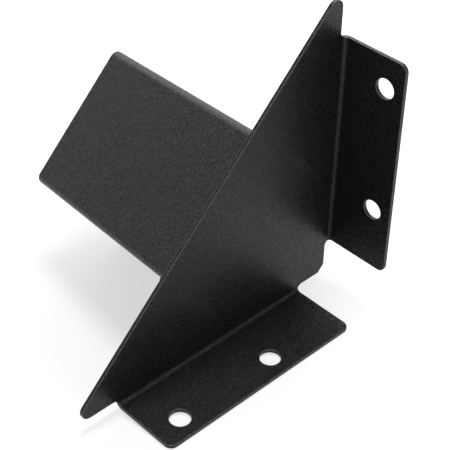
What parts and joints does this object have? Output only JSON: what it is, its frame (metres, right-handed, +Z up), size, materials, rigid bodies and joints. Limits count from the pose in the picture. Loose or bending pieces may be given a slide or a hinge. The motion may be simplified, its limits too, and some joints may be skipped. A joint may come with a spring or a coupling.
{
  "type": "platform angle bracket",
  "caption": "Folded triangular steel plate with bolting flanges and a leaning square socket on its back; joins the corner of a platform frame to a post.",
  "frame": {"origin": "the point where the inner faces of the plate and of both flanges would meet: the corner of the platform's timber frame sits there", "axes": "+Y points off the back of the plate, the way the socket runs; +X points outward through the side flange; +Z runs up along the side flange, away from the bottom flange"},
  "size_m": [0.2123, 0.1888, 0.2095],
  "materials": {
    "plate_coating": "satin black powder coat with a fine grain, on sheet steel",
    "socket_coating": "satin black powder coat with a fine grain, on steel tube",
    "weld_coating": "satin black powder coat over a rippled weld"
  },
  "bodies": {
    "root": {"folded_plate": "plate_coating", "post_socket": "socket_coating", "weld_bead": "weld_coating"}
  },
  "joints": []
}
